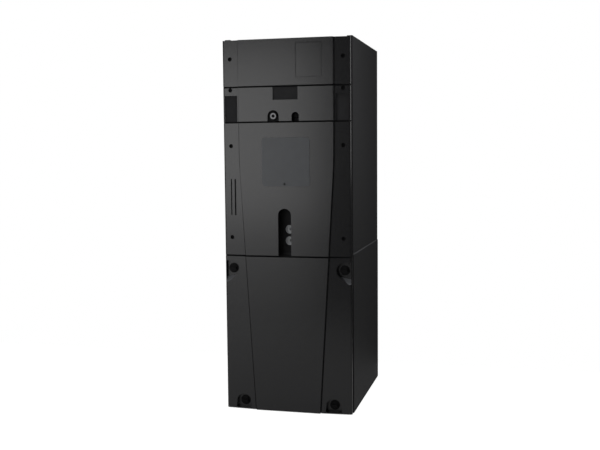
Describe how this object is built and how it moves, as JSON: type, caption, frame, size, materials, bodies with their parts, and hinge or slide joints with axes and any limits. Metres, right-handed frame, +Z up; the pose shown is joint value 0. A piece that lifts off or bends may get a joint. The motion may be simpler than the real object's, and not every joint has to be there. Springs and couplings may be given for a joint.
{
  "type": "vertical air handler",
  "caption": "Tall slim ducted air handler with a blower, leaning coil slabs, drain pan, electric heater, lift-off door with turn latches and refrigerant ports.",
  "frame": {"origin": "centre of the footprint, on the floor", "axes": "X to the right seen from the front, the front panels face -Y, Z up"},
  "size_m": [0.4444, 0.5536, 1.2675],
  "materials": {
    "cabinet_paint": "charcoal powder coat, satin, fine texture",
    "cover_paint": "charcoal powder coat, satin",
    "plate": "moulded, satin",
    "galvanized": "galvanized sheet",
    "black_screw": "blackened steel",
    "seal_rubber": "soft foam rubber",
    "knob_plastic": "moulded",
    "filter_card": "clay-coated board",
    "filter_fabric": "pleated non-woven",
    "moulded_plastic": "moulded",
    "wheel_steel": "galvanized",
    "motor_paint": "black enamel",
    "fin_aluminium": "closely finned",
    "copper": "drawn copper tube",
    "brass": "turned brass",
    "heater_sheath": "heat-darkened steel sheath",
    "board": "solder mask",
    "transformer_shell": "varnished laminations",
    "breaker_shell": "moulded",
    "toggle_plastic": "moulded"
  },
  "bodies": {
    "cabinet": {"lower_left_wall": "cabinet_paint", "lower_right_wall": "cabinet_paint", "lower_back_wall": "cabinet_paint", "base_frame": "cabinet_paint", "blower_deck": "cabinet_paint", "upper_left_wall": "cabinet_paint", "upper_right_wall": "cabinet_paint", "upper_back_wall": "cabinet_paint", "top_frame": "cabinet_paint", "duct_flange": "galvanized", "cross_rails": "cabinet_paint", "panel_gasket": "seal_rubber", "heater_panel": "cabinet_paint", "line_set_panel": "cabinet_paint", "coil_panel": "cabinet_paint", "panel_screws": "black_screw", "badge_plate": "plate", "badge_screw": "black_screw", "latch_clips": "galvanized", "filter_rails": "knob_plastic", "blower_rails": "galvanized", "housing_left": "moulded_plastic", "housing_right": "moulded_plastic", "housing_seal": "seal_rubber", "blower_motor": "motor_paint", "motor_bracket": "galvanized", "drain_pan": "moulded_plastic", "drain_seal": "seal_rubber", "coil_left": "fin_aluminium", "coil_right": "fin_aluminium", "coil_end_plates": "galvanized", "return_bends": "copper", "suction_line": "copper", "suction_grommet": "seal_rubber", "liquid_line": "copper", "liquid_grommet": "seal_rubber", "expansion_valve": "brass", "feeder_tubes": "copper", "heater_plate": "galvanized", "heater_rack": "galvanized", "heater_rods": "heater_sheath", "control_box": "galvanized", "control_board": "board", "transformer": "transformer_shell", "breaker_left": "breaker_shell", "breaker_right": "breaker_shell"},
    "rotor": {"blower_wheel": "wheel_steel", "wheel_blades": "wheel_steel", "motor_shaft": "wheel_steel"},
    "door": {"blower_door": "cabinet_paint", "door_gasket": "seal_rubber"},
    "latch_upper_left": {"knob_upper_left": "knob_plastic"},
    "latch_upper_right": {"knob_upper_right": "knob_plastic"},
    "latch_lower_left": {"knob_lower_left": "knob_plastic"},
    "latch_lower_right": {"knob_lower_right": "knob_plastic"},
    "filter": {"filter_frame": "filter_card", "filter_media": "filter_fabric"},
    "breaker_cover_body": {"breaker_cover": "cover_paint"},
    "toggle_left_body": {"toggle_left": "toggle_plastic"},
    "toggle_right_body": {"toggle_right": "toggle_plastic"}
  },
  "joints": [
    {"name": "wheel_spin", "type": "hinge", "parent": "cabinet", "child": "rotor", "pos_m": [0, 0.02735, 0.285], "axis": [1, 0, 0], "continuous": true},
    {"name": "door_slide", "type": "slide", "parent": "cabinet", "child": "door", "axis": [0, -1, 0], "range_m": [0, 0.6]},
    {"name": "filter_slide", "type": "slide", "parent": "cabinet", "child": "filter", "axis": [0, -1, 0], "range_m": [0, 0.42]},
    {"name": "cover_hinge", "type": "hinge", "parent": "cabinet", "child": "breaker_cover_body", "pos_m": [0.0805, -0.27385, 1.24475], "axis": [-1, 0, 0], "range_deg": [0, 100]},
    {"name": "toggle_left_tilt", "type": "hinge", "parent": "cabinet", "child": "toggle_left_body", "pos_m": [0.06125, -0.24735, 1.19425], "axis": [1, 0, 0], "range_deg": [0, 40]},
    {"name": "toggle_right_tilt", "type": "hinge", "parent": "cabinet", "child": "toggle_right_body", "pos_m": [0.09975, -0.24735, 1.19425], "axis": [1, 0, 0], "range_deg": [0, 40]},
    {"name": "latch_upper_left_turn", "type": "hinge", "parent": "door", "child": "latch_upper_left", "pos_m": [-0.195, -0.2564, 0.49], "axis": [0, 1, 0], "range_deg": [0, 90]},
    {"name": "latch_upper_right_turn", "type": "hinge", "parent": "door", "child": "latch_upper_right", "pos_m": [0.195, -0.2564, 0.49], "axis": [0, 1, 0], "range_deg": [0, 90]},
    {"name": "latch_lower_left_turn", "type": "hinge", "parent": "door", "child": "latch_lower_left", "pos_m": [-0.1585, -0.2564, 0.028], "axis": [0, 1, 0], "range_deg": [0, 90]},
    {"name": "latch_lower_right_turn", "type": "hinge", "parent": "door", "child": "latch_lower_right", "pos_m": [0.1585, -0.2564, 0.028], "axis": [0, 1, 0], "range_deg": [0, 90]}
  ],
  "couplings": [
    {"joint": "filter_slide", "follows": "door_slide", "ratio": 0.7}
  ]
}
